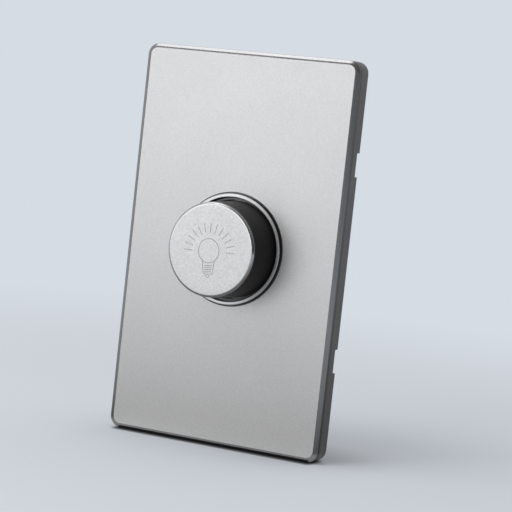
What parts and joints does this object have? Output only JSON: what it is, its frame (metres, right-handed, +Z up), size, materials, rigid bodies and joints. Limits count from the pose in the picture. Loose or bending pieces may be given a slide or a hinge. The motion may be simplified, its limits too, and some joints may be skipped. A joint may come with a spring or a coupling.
{
  "type": "dimmer switch",
  "caption": "Wall dimmer with an upright rectangular satin metal plate, a bright ring and a turning knob with a metal cap, on a strap with a rear housing for a wall box.",
  "frame": {"origin": "centre of the two box screw slots, on the plane of the wall", "axes": "+Z up along the plate's length, +X to the right seen from the front, +Y into the wall; the knob points along -Y"},
  "size_m": [0.07, 0.0454, 0.118],
  "materials": {
    "panel_satin": "satin blasted, clear anodised, polished edge",
    "frame_grey": "fine moulded texture",
    "bezel_chrome": "satin plating, polished outer wall",
    "knob_black": "satin black",
    "cap_aluminium": "fine bead blasted, polished round edge",
    "strap_steel": "zinc plated",
    "spring_steel": "bright",
    "screw_steel": "zinc plated",
    "control_metal": "as drawn",
    "control_resin": "moulded resin",
    "housing_plastic": "fine moulded texture",
    "terminal_brass": "bright",
    "board_laminate": "laminate with lacquer",
    "chip_black": "moulded epoxy",
    "pad_grey": "thin insulating sheet",
    "heat_aluminium": "as rolled",
    "ferrite": "pressed and fired",
    "copper_wire": "enamelled",
    "capacitor_shell": "moulded shell",
    "resistor_coat": "lacquer coat",
    "diode_glass": "sealed glass"
  },
  "bodies": {
    "base": {"front_panel": "panel_satin", "panel_frame": "frame_grey", "knob_bezel": "bezel_chrome", "control_bush": "terminal_brass", "control_washer": "spring_steel", "control_nut": "screw_steel", "control_can": "control_metal", "control_wafer": "control_resin", "control_lugs": "spring_steel", "switch_deck": "control_resin", "switch_lugs": "terminal_brass", "mounting_strap": "strap_steel", "rear_housing": "housing_plastic", "housing_screws": "screw_steel", "wire_plates": "terminal_brass", "wire_screws": "terminal_brass", "circuit_board": "board_laminate", "heat_plate": "heat_aluminium", "chip_pad": "pad_grey", "power_chip": "chip_black", "chip_rivet": "control_metal", "choke_core": "ferrite", "choke_winding": "copper_wire", "filter_capacitor": "capacitor_shell", "timing_capacitor": "capacitor_shell", "resistors": "resistor_coat", "trigger_diode": "diode_glass"},
    "knob": {"knob_body": "knob_black", "knob_cap": "cap_aluminium", "knob_clip": "spring_steel", "control_shaft": "control_metal", "control_rotor": "control_resin", "control_wiper": "spring_steel"}
  },
  "joints": [
    {"name": "knob_turn", "type": "hinge", "parent": "base", "child": "knob", "pos_m": [0, 0, 0], "axis": [0, 1, 0], "range_deg": [0, 270]}
  ]
}
